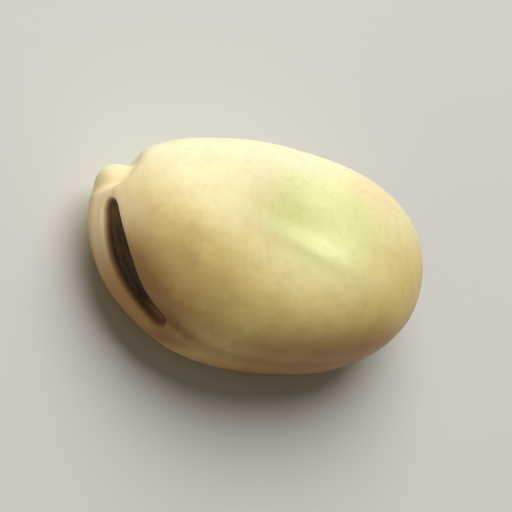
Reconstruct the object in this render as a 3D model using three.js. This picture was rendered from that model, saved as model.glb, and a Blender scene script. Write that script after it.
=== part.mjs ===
// A dried broad bean, lying on one of its two broad sides, in millimetres, +Z up.
// The hilum, the dark scar where the bean was tied to its pod, is at the -X end.
// The bean is one closed body: an oval with two domed broad sides, shaped further by smooth
// bumps and hollows. A point of its skin is named by its turn, the angle round the rim,
// and its lift, the angle up from the rim.
import * as THREE from 'three';

const degrees = (angle) => THREE.MathUtils.degToRad(angle);

// Outline seen from above: an oval whose radius swells and shrinks a little round the rim
const HALF_LENGTH = 11.74;
const HALF_WIDTH = 7.54;
const OUTLINE_SQUARENESS = 2.2;
const OUTLINE_WAVES = [
  { times: 2, even: 0.008, odd: 0.007 },
  { times: 3, even: 0.005, odd: 0.026 },
  { times: 4, even: 0.002, odd: -0.003 },
  { times: 5, even: -0.004, odd: 0.013 },
];

// The two broad sides: height over the rim at the bean's middle, how much of that height goes
// missing towards the +X end and towards the +Y side, and the squareness of the section
const UPPER_SIDE = { height: 5.65, lessAlong: 0.116, lessAcross: 0.06, squareness: 2, atHilum: 1.9 };
const LOWER_SIDE = { height: 4.05, lessAlong: 0.09, lessAcross: 0.03, squareness: 2.45, atHilum: 3.1 };
const HILUM_END_SPREAD = 0.9; // how far round the rim the section of the hilum's end reaches, in radians
const REST_CUT = 0.12; // how much of the underside is worn to a flat resting spot

// Saddle: the upper side is lower across its middle than towards its two ends
const SADDLE = { x: 0.3, y: 1, length: 3.8, width: 5, depth: 1.35, fullAt: 0.8 };

// Hilum: a long sunken pad with a lip round it that is raised along its lower side.
// Places near it are given by the way along the rim and the height above the hilum's middle line.
const HILUM_TURN = degrees(193.8);
const HILUM_LINE = { upper: -3.2, lower: 4, taper: 0.6 }; // from end to end; past them the pad tapers out
const HILUM_HALF_WIDTH = 0.3;
const HILUM_HEIGHT = 0.72; // above the rim's middle
const HILUM_DROP = { depth: 0.78, from: -3, to: 5 }; // its middle line sinks towards its lower end
const HILUM_SWELL = { along: -0.6, halfWidth: 0.48, reach: 3 }; // wider at its middle
const RIM_RADIUS_AT_HILUM = 10.8;
const PAD = { depth: 0.3, edgeDepth: 0.22, edgePower: 3, wall: 0.14 };
const MIDLINE = { depth: 0.1, width: 0.1, halfLength: 3.2, fade: 0.6 };
const LIP = { height: 0.16, offset: 0.34, width: 0.28, shareAbove: 0.15, sideFade: 0.3 };

// Knob over the root's tip, beside the hilum's upper end, and the groove that bends round it
const KNOB = { along: -6.1, above: -1.8, height: 0.46, length: 1.45, width: 1.3 };
const GROOVE = { radius: 1.75, depth: 0.74, width: 0.72 };
const GROOVE_FOOT = { from: -1.4, to: 0.2 }; // height above the knob over which the groove deepens
const GROOVE_HEAD = { from: -1.6, to: -0.4 }; // way past the knob over which it deepens

// Lens: a low bump past the lower end of the hilum
const LENS = { along: 6.25, height: 0.14, length: 0.55, width: 0.5 };

// Valley along the rim between the bean's two halves, on the -Y side, from its start to its end
// as angles round the rim from the hilum's middle, and the swellings above and below it
const VALLEY = { depth: 0.32, width: 0.62, start: 0.1, full: 0.5, fading: 1.4, end: 2.4 };
const LOWER_SWELLING = { z: -1.7, width: 1.5, atHilum: 0.42, alongValley: 0.16 };
const UPPER_SWELLING = { z: 2.1, width: 1.2, atHilum: 0.18, alongValley: 0.09 };
const HILUM_SWELLING_SPREAD = 0.75;
const CHIN = { fading: 0.15, end: 0.95 }; // the lower swelling past the hilum's upper end
const RIM_RELIEF_FADE = 0.25; // share of the half width in from a side's middle where rim relief starts

// Hollows, lumps and a trough with a ridge on the two broad sides
const SIDE_RELIEF_FROM = 0.2; // share of a side's height at which its relief starts
const SIDE_RELIEF_FULL = 0.9;
const TROUGH = { x: 1.3, y: 0.6, tilt: degrees(-17), length: 2.4, width: 1.15, depth: 0.24 };
const RIDGE = { along: -0.6, across: -1.6, length: 2.4, width: 0.65, height: 0.15 };
const LOWER_HOLLOW = { x: 5.6, y: -1.2, length: 1.9, width: 1.6, depth: 0.14 };
const LUMPS = { height: 0.1, perX: 0.62, perY: 0.35, shift: 0.8, acrossPerY: 0.5, acrossShift: -0.4 };

// Fineness of the skin: a band of rows and columns round the rim,
// and on each broad side a cap of square rings round the side's middle
const COLUMNS = 128;
const BAND_ROWS = 30;
const BAND_LIFT = degrees(36);
const CAP_RINGS = COLUMNS / 8;
const COLUMN_CROWDING = 0.58; // columns stand closer at the hilum
const ROW_CROWDING = 0.62; // rows stand closer at the band's middle
const ROW_BEND = { from: 0.6, to: 2 }; // the band's middle follows the hilum up to these angles past it

const bell = (x, width) => Math.exp(-((x / width) ** 2));
const rise = (x, low, high) => THREE.MathUtils.smoothstep(x, low, high);
const wrapped = (angle) => THREE.MathUtils.euclideanModulo(angle + Math.PI, 2 * Math.PI) - Math.PI;

function rimRadius(turn) {
  const lengthShare = Math.abs(Math.cos(turn) / HALF_LENGTH) ** OUTLINE_SQUARENESS;
  const widthShare = Math.abs(Math.sin(turn) / HALF_WIDTH) ** OUTLINE_SQUARENESS;
  let swell = 1;
  for (const wave of OUTLINE_WAVES) {
    swell += wave.even * Math.cos(wave.times * turn) + wave.odd * Math.sin(wave.times * turn);
  }
  return swell * (lengthShare + widthShare) ** (-1 / OUTLINE_SQUARENESS);
}

// Outward direction of the rim, level with it
function rimNormal(turn) {
  const step = 1e-4;
  const radius = rimRadius(turn);
  const slope = (rimRadius(turn + step) - rimRadius(turn - step)) / (2 * step);
  return new THREE.Vector2(
    radius * Math.cos(turn) + slope * Math.sin(turn),
    radius * Math.sin(turn) - slope * Math.cos(turn),
  ).normalize();
}

// Height that the saddle, the hollows, the ridge and the lumps add to a broad side; up runs from -1 to 1
function sideRelief(x, y, up) {
  const onTop = rise(up, SIDE_RELIEF_FROM, SIDE_RELIEF_FULL);
  const below = rise(-up, SIDE_RELIEF_FROM, SIDE_RELIEF_FULL);
  const dx = x - TROUGH.x;
  const dy = y - TROUGH.y;
  const along = dx * Math.cos(TROUGH.tilt) + dy * Math.sin(TROUGH.tilt);
  const across = dy * Math.cos(TROUGH.tilt) - dx * Math.sin(TROUGH.tilt);
  const trough = TROUGH.depth * bell(along, TROUGH.length) * bell(across, TROUGH.width);
  const overRidge = bell(along - RIDGE.along, RIDGE.length) * bell(across - RIDGE.across, RIDGE.width);
  const ridge = RIDGE.height * overRidge;
  const hollow = (place) => place.depth * bell(x - place.x, place.length) * bell(y - place.y, place.width);
  const wave = Math.sin(LUMPS.perX * x + LUMPS.perY * y + LUMPS.shift);
  const lumps = LUMPS.height * wave * Math.cos(LUMPS.acrossPerY * y + LUMPS.acrossShift) * up;
  const saddle = hollow(SADDLE) * rise(up, 0, SADDLE.fullAt);
  return onTop * (ridge - trough) - saddle + below * hollow(LOWER_HOLLOW) + lumps;
}

// Outward push of the valley between the halves and of the swellings beside it
function rimRelief(flank, z) {
  const valley = rise(flank, VALLEY.start, VALLEY.full) * (1 - rise(flank, VALLEY.fading, VALLEY.end));
  const nearHilum = bell(flank, HILUM_SWELLING_SPREAD);
  const chin = flank > 0 ? nearHilum : 1 - rise(-flank, CHIN.fading, CHIN.end);
  const groove = VALLEY.depth * valley * bell(z - HILUM_HEIGHT, VALLEY.width);
  const swell = (place, atHilum) => (
    (place.atHilum * atHilum + place.alongValley * valley) * bell(z - place.z, place.width)
  );
  return swell(LOWER_SWELLING, chin) + swell(UPPER_SWELLING, nearHilum) - groove;
}

// Outward push of the knob over the root's tip and of the groove round it
function rootTipRelief(along, above) {
  const past = along - KNOB.along;
  const over = above - KNOB.above;
  const arc = rise(over, GROOVE_FOOT.from, GROOVE_FOOT.to) * rise(-past, GROOVE_HEAD.from, GROOVE_HEAD.to);
  const groove = GROOVE.depth * arc * bell(Math.hypot(past, over) - GROOVE.radius, GROOVE.width);
  return KNOB.height * bell(past, KNOB.length) * bell(over, KNOB.width) - groove;
}

// Height of the hilum's middle line above the rim's middle
function middleHeight(along) {
  return HILUM_HEIGHT - HILUM_DROP.depth * rise(along, HILUM_DROP.from, HILUM_DROP.to);
}

// Distance from the hilum's middle line, less where the hilum swells
function hilumDistance(along, above) {
  const past = Math.max(HILUM_LINE.upper - along, along - HILUM_LINE.lower, 0);
  const swell = HILUM_SWELL.halfWidth * bell(along - HILUM_SWELL.along, HILUM_SWELL.reach);
  return Math.hypot(HILUM_LINE.taper * past, above) - swell;
}

// Outward push of the hilum's pad, its lip and the lens
function hilumRelief(along, above) {
  const fromMiddle = hilumDistance(along, above);
  const inside = 1 - rise(fromMiddle, HILUM_HALF_WIDTH - PAD.wall, HILUM_HALF_WIDTH + PAD.wall);
  const edgeShare = THREE.MathUtils.clamp(fromMiddle / HILUM_HALF_WIDTH, 0, 1);
  const alongMidline = rise(MIDLINE.halfLength - Math.abs(along), 0, MIDLINE.fade);
  const midline = MIDLINE.depth * bell(above, MIDLINE.width) * alongMidline;
  const pad = inside * (PAD.depth + PAD.edgeDepth * edgeShare ** PAD.edgePower + midline);
  const lipShare = THREE.MathUtils.lerp(1, LIP.shareAbove, rise(above, -LIP.sideFade, LIP.sideFade));
  const lip = LIP.height * lipShare * bell(fromMiddle - HILUM_HALF_WIDTH - LIP.offset, LIP.width);
  const lens = LENS.height * bell(along - LENS.along, LENS.length) * bell(above, LENS.width);
  return lip - pad + lens;
}

function skinPoint(turn, lift) {
  const side = lift > 0 ? UPPER_SIDE : LOWER_SIDE;
  const flank = wrapped(turn - HILUM_TURN);
  const nearHilum = bell(flank, HILUM_END_SPREAD);
  const squareness = THREE.MathUtils.lerp(side.squareness, side.atHilum, nearHilum);
  const level = Math.max(Math.cos(lift), 0);
  const steep = Math.sin(lift);
  const reach = (level ** squareness + Math.abs(steep) ** squareness) ** (-1 / squareness);
  const radius = rimRadius(turn) * reach * level;
  const x = radius * Math.cos(turn);
  const y = radius * Math.sin(turn);
  const up = reach * steep;
  const taper = 1 - side.lessAlong * (x / HALF_LENGTH) - side.lessAcross * (y / HALF_WIDTH);
  const z = side.height * taper * up + sideRelief(x, y, up);
  const along = RIM_RADIUS_AT_HILUM * flank;
  const above = z - middleHeight(along);
  const relief = rimRelief(flank, z) + rootTipRelief(along, above) + hilumRelief(along, above);
  const push = relief * rise(level, 0, RIM_RELIEF_FADE);
  const outward = rimNormal(turn);
  return new THREE.Vector3(x + push * outward.x, y + push * outward.y, z);
}

function columnTurn(column) {
  const even = (2 * Math.PI * column) / COLUMNS;
  return HILUM_TURN + even - COLUMN_CROWDING * Math.sin(even);
}

function bandLift(row, turn) {
  const share = (2 * row) / BAND_ROWS - 1;
  const crowded = (1 - ROW_CROWDING) * share + ROW_CROWDING * share ** 3;
  const flank = wrapped(turn - HILUM_TURN);
  const sideHeight = UPPER_SIDE.height * (1 + UPPER_SIDE.lessAlong);
  const hilumLift = Math.asin(middleHeight(RIM_RADIUS_AT_HILUM * flank) / sideHeight);
  const bend = hilumLift * (1 - rise(Math.abs(flank), ROW_BEND.from, ROW_BEND.to));
  return BAND_LIFT * crowded + bend * (1 - share ** 2);
}

// Number of the point (a, b) of a cap's square grid along its ring
function placeOnRing(a, b, ring) {
  if (a === ring && b < ring) return b + ring;
  if (b === ring && a > -ring) return 3 * ring - a;
  if (a === -ring && b > -ring) return 5 * ring - b;
  return 7 * ring + a;
}

function addBand(points, triangles) {
  for (let row = 0; row <= BAND_ROWS; row += 1) {
    for (let column = 0; column < COLUMNS; column += 1) {
      const turn = columnTurn(column);
      points.push(skinPoint(turn, bandLift(row, turn)));
    }
  }
  for (let row = 0; row < BAND_ROWS; row += 1) {
    for (let column = 0; column < COLUMNS; column += 1) {
      const here = row * COLUMNS + column;
      const next = row * COLUMNS + ((column + 1) % COLUMNS);
      const corners = [here, next, next + COLUMNS, here + COLUMNS];
      // Each cell is split along its shorter diagonal
      const length = (a, b) => points[corners[a]].distanceTo(points[corners[b]]);
      if (length(0, 2) > length(1, 3)) corners.push(corners.shift());
      const [first, second, third, fourth] = corners;
      triangles.push(first, second, third, first, third, fourth);
    }
  }
}

// side is 1 for the upper broad side and -1 for the lower one; the outermost ring is the band's edge
function addCap(points, triangles, side) {
  const edgeStart = side > 0 ? BAND_ROWS * COLUMNS : 0;
  const start = points.push(skinPoint(0, side * (Math.PI / 2))) - 1;
  for (let ring = 1; ring < CAP_RINGS; ring += 1) {
    const lift = Math.PI / 2 - (Math.PI / 2 - BAND_LIFT) * (ring / CAP_RINGS);
    for (let place = 0; place < 8 * ring; place += 1) {
      points.push(skinPoint(columnTurn((place * CAP_RINGS) / ring), side * lift));
    }
  }
  const numberOf = (a, b) => {
    const ring = Math.max(Math.abs(a), Math.abs(b));
    if (ring === 0) return start;
    const place = placeOnRing(a, b, ring);
    return ring === CAP_RINGS ? edgeStart + place : start + 1 + 4 * ring * (ring - 1) + place;
  };
  for (let a = -CAP_RINGS; a < CAP_RINGS; a += 1) {
    for (let b = -CAP_RINGS; b < CAP_RINGS; b += 1) {
      const corners = [numberOf(a, b), numberOf(a + 1, b), numberOf(a + 1, b + 1), numberOf(a, b + 1)];
      // The diagonal that splits the square cell runs outwards from the middle of the side
      if ((a + 0.5) * (b + 0.5) < 0) corners.push(corners.shift());
      const [first, second, third, fourth] = corners;
      if (side > 0) triangles.push(first, second, third, first, third, fourth);
      else triangles.push(first, third, second, first, fourth, third);
    }
  }
}

function beanGeometry() {
  const points = [];
  const triangles = [];
  addBand(points, triangles);
  addCap(points, triangles, 1);
  addCap(points, triangles, -1);

  const floor = Math.min(...points.map((point) => point.z)) + REST_CUT;
  for (const point of points) {
    point.z = Math.max(point.z, floor);
  }

  const geometry = new THREE.BufferGeometry().setFromPoints(points);
  geometry.setIndex(triangles);
  geometry.computeBoundingBox();
  const box = geometry.boundingBox;
  geometry.translate(-(box.min.x + box.max.x) / 2, -(box.min.y + box.max.y) / 2, -box.min.z);
  geometry.computeVertexNormals();
  return geometry;
}

function beanMesh() {
  const skin = new THREE.MeshStandardMaterial({ color: 0xd9c48f, roughness: 0.5, metalness: 0 });
  const mesh = new THREE.Mesh(beanGeometry(), skin);
  mesh.name = 'broad_bean';
  return mesh;
}

const bean = new THREE.Group();
bean.add(beanMesh());

export default bean;
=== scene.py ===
"""A dried broad bean on a plain pale floor, seen as in the photograph.

The bean's skin follows the same formulas as its plain solid, on a much finer mesh, and has the fine
uneven relief of a dried seed coat as well. Lengths of the form are millimetres.
"""
import math
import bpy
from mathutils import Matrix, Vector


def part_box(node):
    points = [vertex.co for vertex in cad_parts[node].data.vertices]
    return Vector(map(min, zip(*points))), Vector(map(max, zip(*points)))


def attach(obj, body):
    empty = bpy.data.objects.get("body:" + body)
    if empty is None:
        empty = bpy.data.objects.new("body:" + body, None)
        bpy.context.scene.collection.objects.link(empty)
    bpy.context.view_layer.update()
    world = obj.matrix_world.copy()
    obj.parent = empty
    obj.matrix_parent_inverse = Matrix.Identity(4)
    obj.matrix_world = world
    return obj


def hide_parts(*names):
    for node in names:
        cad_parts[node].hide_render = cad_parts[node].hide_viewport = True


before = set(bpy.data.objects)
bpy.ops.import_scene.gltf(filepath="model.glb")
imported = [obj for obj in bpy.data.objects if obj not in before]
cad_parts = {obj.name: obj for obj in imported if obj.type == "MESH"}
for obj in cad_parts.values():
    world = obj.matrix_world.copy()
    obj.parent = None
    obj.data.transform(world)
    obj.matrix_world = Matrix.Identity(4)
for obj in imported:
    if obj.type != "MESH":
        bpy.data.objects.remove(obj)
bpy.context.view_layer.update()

from types import SimpleNamespace as Group

import bpy
import numpy as np
from mathutils import Color, Matrix, Vector, noise

MM = 0.001


def screen_colour(red, green, blue):
    """A colour given as screen values from 0 to 255, as the shader wants it."""
    shares = Color((red / 255, green / 255, blue / 255))
    return (*shares.from_srgb_to_scene_linear(), 1.0)


def fade(low, high, start=0.0, end=1.0):
    """A smooth step: a value of low gives start, and a value of high gives end."""
    return Group(low=low, high=high, start=start, end=end)


def pattern(per_mm, detail=3.0, roughness=0.5, distortion=0.0, stretch=(1.0, 1.0, 1.0)):
    """An uneven pattern: its cells per millimetre, and how fine, rough and stretched it is."""
    return Group(
        per_mm=per_mm, detail=detail, roughness=roughness, distortion=distortion, stretch=stretch,
    )


# Outline seen from above
HALF_LENGTH = 11.74
HALF_WIDTH = 7.54
OUTLINE_SQUARENESS = 2.2
OUTLINE_WAVES = (
    Group(times=2, even=0.008, odd=0.007),
    Group(times=3, even=0.005, odd=0.026),
    Group(times=4, even=0.002, odd=-0.003),
    Group(times=5, even=-0.004, odd=0.013),
)
TURN_STEP = 1e-4                 # for the outline's slope, radians

# The two broad sides: height at the middle, how much of it goes missing towards +X and +Y,
# and how square the section is, everywhere and at the hilum
UPPER_SIDE = Group(height=5.65, less_along=0.116, less_across=0.06, squareness=2.0, at_hilum=1.9)
LOWER_SIDE = Group(height=4.05, less_along=0.09, less_across=0.03, squareness=2.45, at_hilum=3.1)
HILUM_END_SPREAD = 0.9           # how far round the rim the hilum's section reaches, radians
REST_CUT = 0.12                  # how much of the underside is worn to a flat resting spot

# Saddle across the middle of the upper side
SADDLE = Group(x=0.3, y=1.0, length=3.8, width=5.0, depth=1.35)
SADDLE_FULL_AT = 0.8             # share of the side's height from which it is full

# Hilum: a long sunken pad, with a raised lip along its lower side. Places near it are given by
# the way along the rim, from upper end to lower end, and the height above its middle line.
HILUM_TURN = math.radians(193.8)
HILUM_LINE = Group(upper=-3.2, lower=4.0, taper=0.6)  # past its two ends the pad tapers out
HILUM_HALF_WIDTH = 0.3
HILUM_HEIGHT = 0.72              # above the rim's middle
HILUM_DROP = Group(depth=0.78, start=-3.0, end=5.0)  # its middle line sinks to its lower end
HILUM_SWELL = Group(size=0.48, along=-0.6, spread=3.0)  # wider at its middle
RIM_RADIUS_AT_HILUM = 10.8
PAD = Group(depth=0.3, edge_depth=0.22, edge_power=3, wall=0.12)
MIDLINE = Group(depth=0.1, width=0.1, half_length=3.2, fade=0.6)
LIP = Group(height=0.16, offset=0.34, width=0.28, share_above=0.15, side_fade=0.3)

# Knob over the root's tip, and the groove that bends round it from the hilum's upper end
KNOB = Group(along=-6.1, above=-1.8, height=0.46, length=1.45, width=1.3)
GROOVE = Group(radius=1.75, depth=0.74, width=0.72)
GROOVE_FOOT = Group(start=-1.4, end=0.2)  # height above the knob over which the groove deepens
GROOVE_HEAD = Group(start=-1.6, end=-0.4)  # way past the knob over which it deepens

# Lens, a low bump past the hilum's lower end
LENS = Group(along=6.25, height=0.14, length=0.55, width=0.5)

# Valley along the rim between the two halves, and the swellings beside it. Where they start and
# end is given in radians past the hilum.
VALLEY = Group(depth=0.32, width=0.62)
VALLEY_START = Group(start=0.1, end=0.5)
VALLEY_END = Group(start=1.4, end=2.4)
LOWER_SWELLING = Group(z=-1.7, width=1.5, at_hilum=0.42, along_valley=0.16)
UPPER_SWELLING = Group(z=2.1, width=1.2, at_hilum=0.18, along_valley=0.09)
HILUM_SWELLING_SPREAD = 0.75
CHIN_END = Group(start=0.15, end=0.95)  # of the lower swelling, past the hilum's upper end
RIM_RELIEF_FADE = 0.25           # share of the way from a side's middle over which rim forms start

# Trough and ridge on the upper side, hollow on the lower side, and low lumps on both
SIDE_RELIEF = Group(start=0.2, end=0.9)  # shares of a side's height between which they deepen
TROUGH = Group(x=1.3, y=0.6, tilt=math.radians(-17), length=2.4, width=1.15, depth=0.24)
RIDGE = Group(along=-0.6, across=-1.6, length=2.4, width=0.65, height=0.15)
LOWER_HOLLOW = Group(x=5.6, y=-1.2, length=1.9, width=1.6, depth=0.14)
LUMPS = Group(height=0.1, per_x=0.62, per_y=0.35, shift=0.8, cross_per_y=0.5, cross_shift=-0.4)

# Fine uneven relief of the seed coat, away from the pad
RIPPLES = (
    Group(size=2.6, height=0.035),
    Group(size=1.1, height=0.014),
    Group(size=0.45, height=0.005),
)
RIPPLE_SHIFT = 17.0              # how many sizes into the noise a ripple starts
RIPPLE_FADE = 1.0                # way past the pad's edge over which the ripples start

# Fineness of the skin: a band of rows and columns round the rim, and on each broad side a cap of
# square rings, whose outermost ring has as many points as the band has columns
COLUMNS = 600
RING_GROWTH = 8                  # points that a square ring has more than the ring inside it
CAP_RINGS = COLUMNS // RING_GROWTH
BAND_ROWS = 88
BAND_LIFT = math.radians(36)
COLUMN_CROWDING = 0.5            # columns stand closer at the hilum
ROW_CROWDING = 0.6               # rows stand closer at the band's middle
ROW_BEND = Group(start=0.6, end=2.0)  # radians past the hilum where the rows stop following it

# Colours of the coat
CREAM = screen_colour(233, 227, 172)
# Paler cream, the painted sheen along the lit +Y side
SHEEN_PALE = screen_colour(243, 241, 206)
GREEN = screen_colour(219, 224, 150)
# Painted highlight along the ridge beside the trough
STREAK_HIGHLIGHT = screen_colour(240, 240, 182)
BRIGHT = screen_colour(243, 234, 176)
PINK = screen_colour(238, 210, 164)
# Painted warm shade, the warm colour of the coat's shaded parts
WARM_SHADE = screen_colour(237, 213, 139)
TAN = screen_colour(211, 184, 119)
BROWN = screen_colour(187, 135, 73)
DEEP_BROWN = screen_colour(150, 106, 56)
SPECK = screen_colour(140, 104, 64)

# Colours of the hilum
# Pale of the lip, brightened as painted light at its upper end and beside the slot's upper end;
# brown of painted shade at the lip's lower end
LIT_PALE = screen_colour(255, 236, 192)
LIP_SHADED_BROWN = screen_colour(184, 142, 90)
# Brown of the pad's upper end, and of the painted shade on the wall round the pad
STAIN_AND_SHADE = screen_colour(112, 76, 34)
PAD_BROWN = screen_colour(84, 56, 14)
PAD_DARK = screen_colour(44, 28, 6)

# Tints of the coat: by the mottle, a painted sheen that makes it paler towards +Y, and by how far
# the skin faces up
MOTTLE = pattern(0.35, detail=5.0, roughness=0.6, distortion=0.6)
TAN_MOTTLE = fade(0.35, 0.7, end=0.3)
UNEVENNESS = fade(0.25, 0.75, start=-1.0)
PAINTED_SHEEN_SIDE = fade(1.0, 6.5, end=0.8)
FACING_UP = fade(-0.1, 0.35)
FINE_MOTTLE = pattern(1.6, detail=4.0, roughness=0.65)
FINE_BROWN = fade(0.45, 0.75, end=0.16)
SPECKS = Group(per_mm=0.7, size=0.05, chosen=0.08, share=0.3)

# Soft oval tints on the upper side; the streak is a painted highlight along the ridge
PATCHES = (
    Group(colour=BRIGHT, x=6.0, y=1.5, length=6.5, width=6.0, turn=0.0, share=0.5, waver=0.6),
    Group(colour=GREEN, x=2.0, y=0.8, length=5.6, width=4.6, turn=-0.2, share=0.85, waver=0.9),
    Group(colour=STREAK_HIGHLIGHT, x=1.5, y=-0.5, length=3.8, width=1.0, turn=-0.33, share=0.55, waver=0.35),
    Group(colour=PINK, x=7.0, y=4.2, length=3.0, width=2.0, turn=0.0, share=0.5, waver=0.6),
    Group(colour=PINK, x=-10.2, y=1.0, length=3.0, width=3.4, turn=0.0, share=0.35, waver=0.4),
)
PATCH_WAVER = pattern(0.28, detail=4.0)
PATTERN_MIDDLE = 0.5             # what a pattern gives on average

# Painted warm shade round the pale middle, and painted brown shade towards the hilum's end and the
# valley's side
WARM_SHADE_RING = Group(x=0.5, y=2.0, length=10.0, width=8.0, waver=0.1)
WARM_SHADE_AWAY = fade(0.15, 0.9)
WARM_SHADE_SIDE = fade(3.5, -1.5)
# Painted shade, tan then brown, on the lower flank towards the hilum's end
SHADED_CORNER = Group(per_x=0.8, per_y=0.7)
CORNER_SHADE_TAN = fade(-6.0, -9.0, end=0.9)
CORNER_SHADE_BROWN = fade(-8.8, -11.8, end=0.9)
# Painted shade, brown, along the rim on the valley's side
SHADED_VALLEY_SIDE = Group(per_x=-0.27, per_unevenness=0.3)
VALLEY_SHADE_BROWN = fade(-5.5, -8.0, end=0.95)

# Tints round the hilum: each lies between bounds of the distance past the pad's edge, the height
# above the hilum's middle line and the way along it
LIP_ZONE = Group(past_pad=fade(2.0, 0.9), above_hilum=fade(0.4, -0.4, end=0.85))
# The lip's own pale tint, with a painted highlight at its upper end, turning to painted shade
# towards its lower end
LIP_LIT_TO_SHADED = fade(-3.8, 1.2)
LIP_SHADED_END = fade(3.2, 5.4, end=0.8)
# Painted light on the body beside the slot's upper end
PAINTED_LIGHT_ZONE = Group(
    past_pad=fade(2.3, 0.4), above_hilum=fade(0.0, 0.5), along_hilum=fade(-0.5, -3.0, end=0.7),
)
SHADE_ZONE = Group(
    past_pad=fade(2.4, 0.1), above_hilum=fade(0.0, 0.4), along_hilum=fade(-4.0, 1.0, end=0.75),
)
# Painted shade, brown, on the wall round the pad where the slot's recess lies in shade
SHADED_PAD_EDGE = fade(0.16, -0.02)

# Pad: its share of the surface, its grain and its browner ends
ON_PAD = fade(0.06, -0.12)
PAD_GRAIN = pattern(3.2, detail=5.0, roughness=0.7, stretch=(1.0, 0.3, 1.0))
PAD_LIGHTER = fade(0.35, 0.7)
PAD_LOWER_END = fade(2.4, 4.4, end=0.9)
PAD_UPPER_END = fade(-1.6, -3.6, end=0.8)

# Surface: a satin coat that light enters a little, pores and creases in it, and a duller pad
SHINE = pattern(0.9, detail=4.0)
SATIN = fade(0.3, 0.7, start=0.36, end=0.48)
PAD_DULLER = 0.25
SPECULAR = 0.5
UNDER_SKIN = Group(weight=0.1, radius=(1.0, 0.55, 0.25), depth=0.5)
PORES = pattern(7.0, roughness=0.6)
CREASES = pattern(1.5, distortion=1.2, stretch=(0.6, 1.4, 1.0))
PORE_BUMP = Group(strength=0.25, depth=0.01)
CREASE_BUMP = Group(strength=0.3, depth=0.03)
PAD_BUMP = Group(strength=0.6, depth=0.06)

# Floor
FLOOR_HALF = 1.5                 # metres
FLOOR_ROUGHNESS = 0.85
FLOOR_GRAIN = pattern(0.02)
FLOOR_DARK = screen_colour(206, 205, 202)
FLOOR_LIGHT = screen_colour(212, 211, 208)

# Camera: the photograph's direction from the bean, worked out from its outline and its hilum
VIEW_TILT = math.radians(38.0)   # away from straight down, towards the hilum's side
VIEW_TURN = math.radians(32.3)   # from the bean's length towards its valley side
VIEW_ROLL = math.radians(10.7)
CAMERA_LENS = 1200.0             # millimetres
SENSOR_WIDTH = 36.0              # millimetres
FRAME_WIDTH = 0.0328             # width of what the picture shows at the bean, metres
CLIP_START = 0.005               # metres

# Lights: directions in the picture, distances and sizes in metres, powers in watts
KEY = Group(
    up=0.87, right=0.42, back=0.42, away=0.4, size=0.5, power=2.35, colour=(1.0, 0.985, 0.95),
)
FILL = Group(
    up=0.0, right=-0.3, back=1.0, away=0.5, size=0.4, power=0.2, colour=(1.0, 0.86, 0.64),
)
SURROUNDINGS = Group(colour=(1.0, 0.93, 0.8, 1.0), strength=0.1)

# Places of a mix node's colours among its inputs, and of the blend among its outputs
MIX_COLOURS = Group(first=6, second=7, blend=2)


def bell(x, width):
    return np.exp(-((x / width) ** 2))


def rise(x, low, high):
    share = np.clip((x - low) / (high - low), 0.0, 1.0)
    return share * share * (3.0 - 2.0 * share)


def rise_over(x, span):
    return rise(x, span.start, span.end)


def wrapped(angle):
    return (angle + math.pi) % (2 * math.pi) - math.pi


def rim_radius(turn):
    length_share = np.abs(np.cos(turn) / HALF_LENGTH) ** OUTLINE_SQUARENESS
    width_share = np.abs(np.sin(turn) / HALF_WIDTH) ** OUTLINE_SQUARENESS
    swell = 1.0
    for wave in OUTLINE_WAVES:
        swell = swell + wave.even * np.cos(wave.times * turn) + wave.odd * np.sin(wave.times * turn)
    return swell * (length_share + width_share) ** (-1 / OUTLINE_SQUARENESS)


def rim_normal(turn):
    """Outward direction of the rim, level with it."""
    radius = rim_radius(turn)
    slope = (rim_radius(turn + TURN_STEP) - rim_radius(turn - TURN_STEP)) / (2 * TURN_STEP)
    x = radius * np.cos(turn) + slope * np.sin(turn)
    y = radius * np.sin(turn) - slope * np.cos(turn)
    size = np.hypot(x, y)
    return x / size, y / size


def hollow_depth(hollow, x, y):
    return hollow.depth * bell(x - hollow.x, hollow.length) * bell(y - hollow.y, hollow.width)


def streak_height(x, y):
    """Height of the ridge less the depth of the trough beside it."""
    dx, dy = x - TROUGH.x, y - TROUGH.y
    along = dx * math.cos(TROUGH.tilt) + dy * math.sin(TROUGH.tilt)
    across = dy * math.cos(TROUGH.tilt) - dx * math.sin(TROUGH.tilt)
    trough = TROUGH.depth * bell(along, TROUGH.length) * bell(across, TROUGH.width)
    beside = bell(along - RIDGE.along, RIDGE.length) * bell(across - RIDGE.across, RIDGE.width)
    return RIDGE.height * beside - trough


def side_relief(x, y, up):
    """Height that the saddle, the hollows, the ridge and the lumps add to a broad side."""
    wave = np.sin(LUMPS.per_x * x + LUMPS.per_y * y + LUMPS.shift)
    lumps = LUMPS.height * wave * np.cos(LUMPS.cross_per_y * y + LUMPS.cross_shift) * up
    saddle = hollow_depth(SADDLE, x, y) * rise(up, 0.0, SADDLE_FULL_AT)
    above = rise_over(up, SIDE_RELIEF) * streak_height(x, y)
    below = rise_over(-up, SIDE_RELIEF) * hollow_depth(LOWER_HOLLOW, x, y)
    return above + below - saddle + lumps


def swelling_push(swelling, z, near_hilum, valley):
    size = swelling.at_hilum * near_hilum + swelling.along_valley * valley
    return size * bell(z - swelling.z, swelling.width)


def rim_relief(flank, z):
    """Outward push of the valley between the halves and of the swellings beside it."""
    valley = rise_over(flank, VALLEY_START) * (1 - rise_over(flank, VALLEY_END))
    near_hilum = bell(flank, HILUM_SWELLING_SPREAD)
    chin = np.where(flank > 0, near_hilum, 1 - rise_over(-flank, CHIN_END))
    groove = VALLEY.depth * valley * bell(z - HILUM_HEIGHT, VALLEY.width)
    lower = swelling_push(LOWER_SWELLING, z, chin, valley)
    return lower + swelling_push(UPPER_SWELLING, z, near_hilum, valley) - groove


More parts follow.
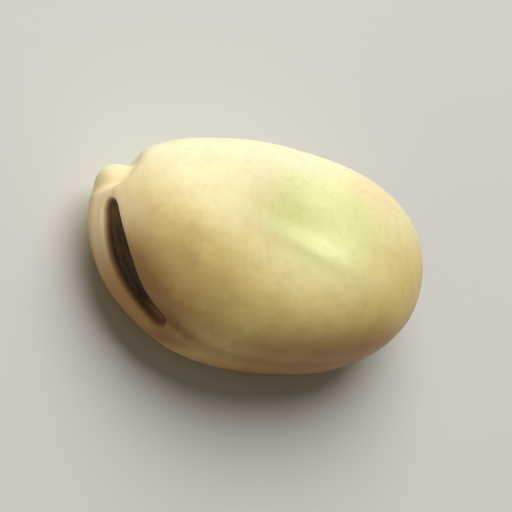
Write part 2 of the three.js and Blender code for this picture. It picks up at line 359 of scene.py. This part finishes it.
def root_tip_relief(along, above):
    """Outward push of the knob over the root's tip and of the groove round it."""
    past, over = along - KNOB.along, above - KNOB.above
    arc = rise_over(over, GROOVE_FOOT) * rise_over(-past, GROOVE_HEAD)
    groove = GROOVE.depth * arc * bell(np.hypot(past, over) - GROOVE.radius, GROOVE.width)
    return KNOB.height * bell(past, KNOB.length) * bell(over, KNOB.width) - groove


def middle_height(along):
    """Height of the hilum's middle line above the rim's middle."""
    return HILUM_HEIGHT - HILUM_DROP.depth * rise_over(along, HILUM_DROP)


def hilum_distance(along, above):
    """Distance from the hilum's middle line, less where the hilum swells; its two ends taper."""
    past = np.maximum(np.maximum(HILUM_LINE.upper - along, along - HILUM_LINE.lower), 0)
    swell = HILUM_SWELL.size * bell(along - HILUM_SWELL.along, HILUM_SWELL.spread)
    return np.hypot(HILUM_LINE.taper * past, above) - swell


def hilum_relief(along, above):
    """Outward push of the hilum's pad, its lip and the lens."""
    from_middle = hilum_distance(along, above)
    inside = 1 - rise(from_middle, HILUM_HALF_WIDTH - PAD.wall, HILUM_HALF_WIDTH + PAD.wall)
    edge_share = np.clip(from_middle / HILUM_HALF_WIDTH, 0, 1)
    along_midline = rise(MIDLINE.half_length - np.abs(along), 0, MIDLINE.fade)
    midline = MIDLINE.depth * bell(above, MIDLINE.width) * along_midline
    pad = inside * (PAD.depth + PAD.edge_depth * edge_share ** PAD.edge_power + midline)
    lip_share = 1 - (1 - LIP.share_above) * rise(above, -LIP.side_fade, LIP.side_fade)
    lip = LIP.height * lip_share * bell(from_middle - HILUM_HALF_WIDTH - LIP.offset, LIP.width)
    lens = LENS.height * bell(along - LENS.along, LENS.length) * bell(above, LENS.width)
    return lip - pad + lens


def of_side(upper, name):
    return np.where(upper, getattr(UPPER_SIDE, name), getattr(LOWER_SIDE, name))


def section_reach(upper, flank, level, steep):
    """How far the section reaches in the direction whose level and steep shares are given."""
    squareness = of_side(upper, "squareness")
    near_hilum = bell(flank, HILUM_END_SPREAD)
    squareness = squareness + (of_side(upper, "at_hilum") - squareness) * near_hilum
    return (level ** squareness + np.abs(steep) ** squareness) ** (-1 / squareness)


def side_height(upper, x, y):
    """Height of a broad side over the rim, which tapers towards +X and +Y."""
    along_share = of_side(upper, "less_along") * (x / HALF_LENGTH)
    across_share = of_side(upper, "less_across") * (y / HALF_WIDTH)
    return of_side(upper, "height") * (1 - along_share - across_share)


def skin(turn, lift):
    """Places on the skin, and where each lies: along the rim and above the hilum's middle line."""
    upper = lift > 0
    flank = wrapped(turn - HILUM_TURN)
    level = np.maximum(np.cos(lift), 0)
    steep = np.sin(lift)
    reach = section_reach(upper, flank, level, steep)
    radius = rim_radius(turn) * reach * level
    x, y = radius * np.cos(turn), radius * np.sin(turn)
    up = reach * steep
    z = side_height(upper, x, y) * up + side_relief(x, y, up)
    along = RIM_RADIUS_AT_HILUM * flank
    above = z - middle_height(along)
    relief = rim_relief(flank, z) + root_tip_relief(along, above) + hilum_relief(along, above)
    push = relief * rise(level, 0, RIM_RELIEF_FADE)
    out_x, out_y = rim_normal(turn)
    return np.stack([x + push * out_x, y + push * out_y, z], axis=-1), along, above


def column_turn(column):
    """Turn of a column; columns stand closer at the hilum."""
    even = 2 * math.pi * column / COLUMNS
    return HILUM_TURN + even - COLUMN_CROWDING * np.sin(even)


def band_lift(row, turn):
    """Lift of a row of the band, whose middle follows the hilum."""
    share = 2 * row / BAND_ROWS - 1
    crowded = (1 - ROW_CROWDING) * share + ROW_CROWDING * share ** 3
    flank = wrapped(turn - HILUM_TURN)
    height = UPPER_SIDE.height * (1 + UPPER_SIDE.less_along)
    hilum_lift = np.arcsin(middle_height(RIM_RADIUS_AT_HILUM * flank) / height)
    bend = hilum_lift * (1 - rise_over(np.abs(flank), ROW_BEND))
    return BAND_LIFT * crowded + bend * (1 - share ** 2)


def place_on_ring(a, b, ring):
    """Number of the point (a, b) of a cap's square grid along its ring."""
    if a == ring and b < ring:
        return b + ring
    if b == ring and a > -ring:
        return 3 * ring - a
    if a == -ring and b > -ring:
        return 5 * ring - b
    return 7 * ring + a


def band_faces():
    faces = []
    for row in range(BAND_ROWS):
        for column in range(COLUMNS):
            here = row * COLUMNS + column
            beside = row * COLUMNS + (column + 1) % COLUMNS
            faces.append((here, beside, beside + COLUMNS, here + COLUMNS))
    return faces


def cap_grid(start, edge_start):
    """Point numbers of a cap's square grid; its outermost ring is the band's edge."""
    size = 2 * CAP_RINGS + 1
    grid = np.empty((size, size), dtype=int)
    for a in range(-CAP_RINGS, CAP_RINGS + 1):
        for b in range(-CAP_RINGS, CAP_RINGS + 1):
            ring = max(abs(a), abs(b))
            number = start
            if ring == CAP_RINGS:
                number = edge_start + place_on_ring(a, b, ring)
            elif ring > 0:
                inside = 1 + RING_GROWTH * ring * (ring - 1) // 2
                number = start + inside + place_on_ring(a, b, ring)
            grid[a + CAP_RINGS, b + CAP_RINGS] = number
    return grid


def cap_faces(start, edge_start, side):
    grid = cap_grid(start, edge_start)
    faces = []
    for i in range(2 * CAP_RINGS):
        for j in range(2 * CAP_RINGS):
            corners = (grid[i, j], grid[i + 1, j], grid[i + 1, j + 1], grid[i, j + 1])
            faces.append(tuple(int(c) for c in (corners if side > 0 else corners[::-1])))
    return faces


def cap_parameters(side):
    """Turns and lifts of a cap's points, ring after ring from its middle."""
    turns, lifts = [0.0], [side * math.pi / 2]
    for ring in range(1, CAP_RINGS):
        lift = math.pi / 2 - (math.pi / 2 - BAND_LIFT) * ring / CAP_RINGS
        count = RING_GROWTH * ring
        turns.extend(column_turn(np.arange(count) * CAP_RINGS / ring))
        lifts.extend([side * lift] * count)
    return turns, lifts


def skin_parameters():
    """Turn and lift of every point, and the faces between the points."""
    rows, columns = np.meshgrid(np.arange(BAND_ROWS + 1), np.arange(COLUMNS), indexing="ij")
    band_turns = column_turn(columns)
    turns = list(band_turns.ravel())
    lifts = list(band_lift(rows, band_turns).ravel())
    faces = band_faces()
    for side, edge_start in ((1, BAND_ROWS * COLUMNS), (-1, 0)):
        faces += cap_faces(len(turns), edge_start, side)
        cap_turns, cap_lifts = cap_parameters(side)
        turns += cap_turns
        lifts += cap_lifts
    return np.array(turns), np.array(lifts), faces


def vertex_normals(points, faces):
    quads = np.array(faces)
    a, b, c, d = (points[quads[:, k]] for k in range(4))
    across = np.cross(c - a, d - b)
    normals = np.zeros_like(points)
    for k in range(4):
        np.add.at(normals, quads[:, k], across)
    return normals / np.linalg.norm(normals, axis=1, keepdims=True)


def ripple_heights(points):
    """Fine uneven relief of the seed coat, from steady noise."""
    heights = np.zeros(len(points))
    for ripple in RIPPLES:
        shift = Vector((RIPPLE_SHIFT * ripple.size, 0, 0))
        waves = [noise.noise(Vector(point) / ripple.size + shift) for point in points]
        heights += ripple.height * np.array(waves)
    return heights


def bean_shape():
    """Points and faces of the skin, and the measures that its tints need at each point."""
    turns, lifts, faces = skin_parameters()
    points, along, above = skin(turns, lifts)
    normals = vertex_normals(points, faces)
    past_pad = hilum_distance(along, above) - HILUM_HALF_WIDTH
    ripples = ripple_heights(points) * rise(past_pad, 0, RIPPLE_FADE)
    points = points + normals * ripples[:, None]
    points[:, 2] = np.maximum(points[:, 2], points[:, 2].min() + REST_CUT)
    measures = {
        "past_pad": past_pad,
        "along_hilum": along,
        "above_hilum": above,
        "bean_x": points[:, 0],
        "bean_y": points[:, 1],
        "bean_up": normals[:, 2],
    }
    return points, faces, measures


def fitted_to_cad(points):
    """The bean in metres, stretched by the little that makes its box the plain solid's box."""
    low, high = (np.array(shaded_corner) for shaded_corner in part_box("broad_bean"))
    own_low, own_high = points.min(axis=0), points.max(axis=0)
    return low + (points - own_low) * (high - low) / (own_high - own_low)


def add_attribute(mesh, name, values):
    layer = mesh.attributes.new(name, "FLOAT", "POINT")
    layer.data.foreach_set("value", np.asarray(values, dtype=np.float32))


def make_bean():
    points, faces, measures = bean_shape()
    mesh = bpy.data.meshes.new("bean_skin")
    mesh.from_pydata(fitted_to_cad(points).tolist(), [], faces)
    mesh.polygons.foreach_set("use_smooth", [True] * len(mesh.polygons))
    for name, values in measures.items():
        add_attribute(mesh, name, values)
    mesh.materials.append(skin_material())
    mesh.update()
    bean = bpy.data.objects.new("bean_skin", mesh)
    bpy.context.scene.collection.objects.link(bean)
    return bean


class Nodes:
    """Short calls for building one material's nodes."""

    def __init__(self, name):
        self.material = bpy.data.materials.new(name)
        self.material.use_nodes = True
        self.tree = self.material.node_tree
        self.shader = self.tree.nodes["Principled BSDF"]

    def add(self, kind, **settings):
        node = self.tree.nodes.new(kind)
        for key, value in settings.items():
            setattr(node, key, value)
        return node

    def put(self, source, target):
        """Gives a socket a plain value, or the output of another node."""
        if isinstance(source, (int, float, tuple)):
            target.default_value = source
        else:
            self.tree.links.new(source, target)

    def attribute(self, name):
        return self.add("ShaderNodeAttribute", attribute_name=name).outputs["Fac"]

    def math(self, operation, first, second=0.0):
        node = self.add("ShaderNodeMath", operation=operation)
        self.put(first, node.inputs[0])
        self.put(second, node.inputs[1])
        return node.outputs[0]

    def product(self, *factors):
        result = factors[0]
        for factor in factors[1:]:
            result = self.math("MULTIPLY", result, factor)
        return result

    def sum(self, *terms):
        result = terms[0]
        for term in terms[1:]:
            result = self.math("ADD", result, term)
        return result

    def faded(self, value, step):
        """What a smooth step makes of a value."""
        node = self.add("ShaderNodeMapRange", interpolation_type="SMOOTHSTEP")
        self.put(value, node.inputs["Value"])
        self.put(step.low, node.inputs["From Min"])
        self.put(step.high, node.inputs["From Max"])
        self.put(step.start, node.inputs["To Min"])
        self.put(step.end, node.inputs["To Max"])
        return node.outputs["Result"]

    def place(self, stretch=(1.0, 1.0, 1.0)):
        mapping = self.add("ShaderNodeMapping")
        self.put(self.add("ShaderNodeTexCoord").outputs["Object"], mapping.inputs["Vector"])
        self.put(stretch, mapping.inputs["Scale"])
        return mapping.outputs["Vector"]

    def noise(self, kind):
        node = self.add("ShaderNodeTexNoise")
        self.put(self.place(kind.stretch), node.inputs["Vector"])
        self.put(kind.per_mm / MM, node.inputs["Scale"])
        self.put(kind.detail, node.inputs["Detail"])
        self.put(kind.roughness, node.inputs["Roughness"])
        self.put(kind.distortion, node.inputs["Distortion"])
        return node.outputs["Fac"]

    def specks(self, kind):
        """Share of round dots in some of the cells of a cell pattern."""
        cells = self.add("ShaderNodeTexVoronoi", feature="F1")
        self.put(self.place(), cells.inputs["Vector"])
        self.put(kind.per_mm / MM, cells.inputs["Scale"])
        channels = self.add("ShaderNodeSeparateColor")
        self.put(cells.outputs["Color"], channels.inputs["Color"])
        chosen = self.math("LESS_THAN", channels.outputs["Red"], kind.chosen)
        dot = self.faded(cells.outputs["Distance"], fade(kind.size, kind.size / 2))
        return self.product(dot, chosen, kind.share)

    def mix(self, share, first, second):
        """Blend of two colours: share 0 gives the first, share 1 the second."""
        node = self.add("ShaderNodeMix", data_type="RGBA", blend_type="MIX")
        self.put(share, node.inputs["Factor"])
        self.put(first, node.inputs[MIX_COLOURS.first])
        self.put(second, node.inputs[MIX_COLOURS.second])
        return node.outputs[MIX_COLOURS.blend]

    def bump(self, height, kind, normal=None):
        node = self.add("ShaderNodeBump")
        self.put(height, node.inputs["Height"])
        self.put(kind.strength, node.inputs["Strength"])
        self.put(kind.depth * MM, node.inputs["Distance"])
        if normal is not None:
            self.put(normal, node.inputs["Normal"])
        return node.outputs["Normal"]


def patch_share(n, patch):
    """Share of a soft oval tint: full in its middle, 0 outside, with a wavering edge."""
    dx = n.math("SUBTRACT", n.attribute("bean_x"), patch.x)
    dy = n.math("SUBTRACT", n.attribute("bean_y"), patch.y)
    cosine, sine = math.cos(patch.turn), math.sin(patch.turn)
    along = n.sum(n.product(dx, cosine / patch.length), n.product(dy, sine / patch.length))
    across = n.sum(n.product(dy, cosine / patch.width), n.product(dx, -sine / patch.width))
    unevenness = n.math("SUBTRACT", n.noise(PATCH_WAVER), PATTERN_MIDDLE)
    waver = n.product(unevenness, patch.waver)
    away = n.sum(n.product(along, along), n.product(across, across), waver)
    return n.faded(away, fade(0.0, 1.0, start=patch.share, end=0.0))


def warm_shade_share(n, unevenness):
    """Share of the painted warm shade, which grows outwards from the pale middle except on the lit
    +Y side.
    """
    dx = n.math("SUBTRACT", n.attribute("bean_x"), WARM_SHADE_RING.x)
    dy = n.math("SUBTRACT", n.attribute("bean_y"), WARM_SHADE_RING.y)
    along = n.math("DIVIDE", dx, WARM_SHADE_RING.length)
    across = n.math("DIVIDE", dy, WARM_SHADE_RING.width)
    waver = n.product(unevenness, WARM_SHADE_RING.waver)
    away = n.sum(n.product(along, along), n.product(across, across), waver)
    return n.product(n.faded(away, WARM_SHADE_AWAY), n.faded(n.attribute("bean_y"), WARM_SHADE_SIDE))


def upper_tints(n, mottle):
    """Cream with a painted sheen paler towards +Y, and the patches of the upper side."""
    colour = n.mix(n.faded(mottle, TAN_MOTTLE), CREAM, TAN)
    # painted sheen: paler towards +Y, where the key light falls on the bean
    colour = n.mix(n.faded(n.attribute("bean_y"), PAINTED_SHEEN_SIDE), colour, SHEEN_PALE)
    on_top = n.faded(n.attribute("bean_up"), FACING_UP)
    for patch in PATCHES:
        colour = n.mix(n.product(patch_share(n, patch), on_top), colour, patch.colour)
    return colour


def painted_rim_shade(n, mottle, colour):
    """A colour with painted warm and brown shade towards the rim, the hilum's end and the valley's
    side.
    """
    unevenness = n.faded(mottle, UNEVENNESS)
    x, y = n.attribute("bean_x"), n.attribute("bean_y")
    colour = n.mix(warm_shade_share(n, unevenness), colour, WARM_SHADE)
    shaded_corner = n.sum(n.product(x, SHADED_CORNER.per_x), n.product(y, SHADED_CORNER.per_y), unevenness)
    colour = n.mix(n.faded(shaded_corner, CORNER_SHADE_TAN), colour, TAN)
    colour = n.mix(n.faded(shaded_corner, CORNER_SHADE_BROWN), colour, BROWN)
    waver = n.product(unevenness, SHADED_VALLEY_SIDE.per_unevenness)
    shaded_valley_side = n.sum(y, n.product(x, SHADED_VALLEY_SIDE.per_x), waver)
    return n.mix(n.faded(shaded_valley_side, VALLEY_SHADE_BROWN), colour, BROWN)


def coat_colour(n):
    """Colour of the seed coat: cream with patches, with painted shade towards the valley and the
    hilum.
    """
    mottle = n.noise(MOTTLE)
    colour = painted_rim_shade(n, mottle, upper_tints(n, mottle))
    colour = n.mix(n.faded(n.noise(FINE_MOTTLE), FINE_BROWN), colour, BROWN)
    return n.mix(n.specks(SPECKS), colour, SPECK)


def zone_share(n, zone):
    """Share of a tint that lies between bounds of one or more measures."""
    return n.product(*(n.faded(n.attribute(name), step) for name, step in vars(zone).items()))


def hilum_colour(n, colour):
    """A colour with the lip's tint below the hilum, and painted light and painted shade above it.
    """
    along = n.attribute("along_hilum")
    lip_tint = n.mix(n.faded(along, LIP_LIT_TO_SHADED), LIT_PALE, LIP_SHADED_BROWN)
    lip_tint = n.mix(n.faded(along, LIP_SHADED_END), lip_tint, DEEP_BROWN)
    colour = n.mix(zone_share(n, LIP_ZONE), colour, lip_tint)
    colour = n.mix(zone_share(n, PAINTED_LIGHT_ZONE), colour, LIT_PALE)
    colour = n.mix(zone_share(n, SHADE_ZONE), colour, DEEP_BROWN)
    return n.mix(n.faded(n.attribute("past_pad"), SHADED_PAD_EDGE), colour, STAIN_AND_SHADE)


def pad_colour(n, grain):
    """Colour of the pad: nearly black, and brown at its two ends."""
    along = n.attribute("along_hilum")
    colour = n.mix(n.faded(grain, PAD_LIGHTER), PAD_DARK, PAD_BROWN)
    colour = n.mix(n.faded(along, PAD_LOWER_END), colour, DEEP_BROWN)
    return n.mix(n.faded(along, PAD_UPPER_END), colour, STAIN_AND_SHADE)


def add_bumps(n, grain, on_pad):
    """Pores and creases of the coat, and the grain of the pad."""
    pores = n.bump(n.noise(PORES), PORE_BUMP)
    creases = n.bump(n.noise(CREASES), CREASE_BUMP, pores)
    n.put(n.bump(n.product(grain, on_pad), PAD_BUMP, creases), n.shader.inputs["Normal"])


def skin_material():
    n = Nodes("bean_coat")
    grain = n.noise(PAD_GRAIN)
    on_pad = n.faded(n.attribute("past_pad"), ON_PAD)
    coat = hilum_colour(n, coat_colour(n))
    n.put(n.mix(on_pad, coat, pad_colour(n, grain)), n.shader.inputs["Base Color"])
    satin = n.faded(n.noise(SHINE), SATIN)
    n.put(n.sum(satin, n.product(on_pad, PAD_DULLER)), n.shader.inputs["Roughness"])
    n.put(SPECULAR, n.shader.inputs["Specular IOR Level"])
    n.put(UNDER_SKIN.weight, n.shader.inputs["Subsurface Weight"])
    n.put(UNDER_SKIN.radius, n.shader.inputs["Subsurface Radius"])
    n.put(UNDER_SKIN.depth * MM, n.shader.inputs["Subsurface Scale"])
    add_bumps(n, grain, on_pad)
    return n.material


def make_floor():
    half = FLOOR_HALF
    corners = [(-half, -half, 0), (half, -half, 0), (half, half, 0), (-half, half, 0)]
    mesh = bpy.data.meshes.new("floor")
    mesh.from_pydata(corners, [], [(0, 1, 2, 3)])
    floor = bpy.data.objects.new("floor", mesh)
    bpy.context.scene.collection.objects.link(floor)
    n = Nodes("pale_floor")
    n.put(n.mix(n.noise(FLOOR_GRAIN), FLOOR_DARK, FLOOR_LIGHT), n.shader.inputs["Base Color"])
    n.put(FLOOR_ROUGHNESS, n.shader.inputs["Roughness"])
    mesh.materials.append(n.material)


def view_axes():
    """Directions of the picture: towards the camera, to the right and up."""
    back = Vector((
        -math.sin(VIEW_TILT) * math.cos(VIEW_TURN),
        -math.sin(VIEW_TILT) * math.sin(VIEW_TURN),
        math.cos(VIEW_TILT),
    ))
    level = (Vector((1, 0, 0)) - back.x * back).normalized()
    right = math.cos(VIEW_ROLL) * level + math.sin(VIEW_ROLL) * back.cross(level)
    return back, right, back.cross(right)


def picture_middle(bean):
    """Point behind the middle of the bean's outline in the picture."""
    places = np.array([vertex.co for vertex in bean.data.vertices])
    middle = Vector((0.0, 0.0, 0.0))
    for axis in view_axes():
        reach = places @ np.array(axis)
        middle += axis * float(reach.max() + reach.min()) / 2
    return middle


def make_camera(middle):
    back, right, up = view_axes()
    data = bpy.data.cameras.new("camera")
    data.lens = CAMERA_LENS
    data.sensor_width = SENSOR_WIDTH
    data.clip_start = CLIP_START
    camera = bpy.data.objects.new("camera", data)
    bpy.context.scene.collection.objects.link(camera)
    away = FRAME_WIDTH * CAMERA_LENS / SENSOR_WIDTH
    turned = Matrix((right, up, back)).transposed().to_4x4()
    camera.matrix_world = Matrix.Translation(middle + back * away) @ turned
    bpy.context.scene.camera = camera


def make_light(name, middle, kind):
    back, right, up = view_axes()
    direction = kind.up * up + kind.right * right + kind.back * back
    data = bpy.data.lights.new(name, "AREA")
    data.shape = "DISK"
    data.size = kind.size
    data.energy = kind.power
    data.color = kind.colour
    light = bpy.data.objects.new(name, data)
    light.location = middle + direction.normalized() * kind.away
    light.rotation_mode = "QUATERNION"
    light.rotation_quaternion = direction.to_track_quat("Z", "Y")
    bpy.context.scene.collection.objects.link(light)


def make_surroundings():
    world = bpy.data.worlds.new("studio")
    world.use_nodes = True
    background = world.node_tree.nodes["Background"]
    background.inputs["Color"].default_value = SURROUNDINGS.colour
    background.inputs["Strength"].default_value = SURROUNDINGS.strength
    bpy.context.scene.world = world
    bpy.context.scene.view_settings.view_transform = "Standard"


bean = make_bean()
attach(bean, "root")
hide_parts("broad_bean")

bean_middle = picture_middle(bean)
make_floor()
make_camera(bean_middle)
make_light("key", bean_middle, KEY)
make_light("fill", bean_middle, FILL)
make_surroundings()
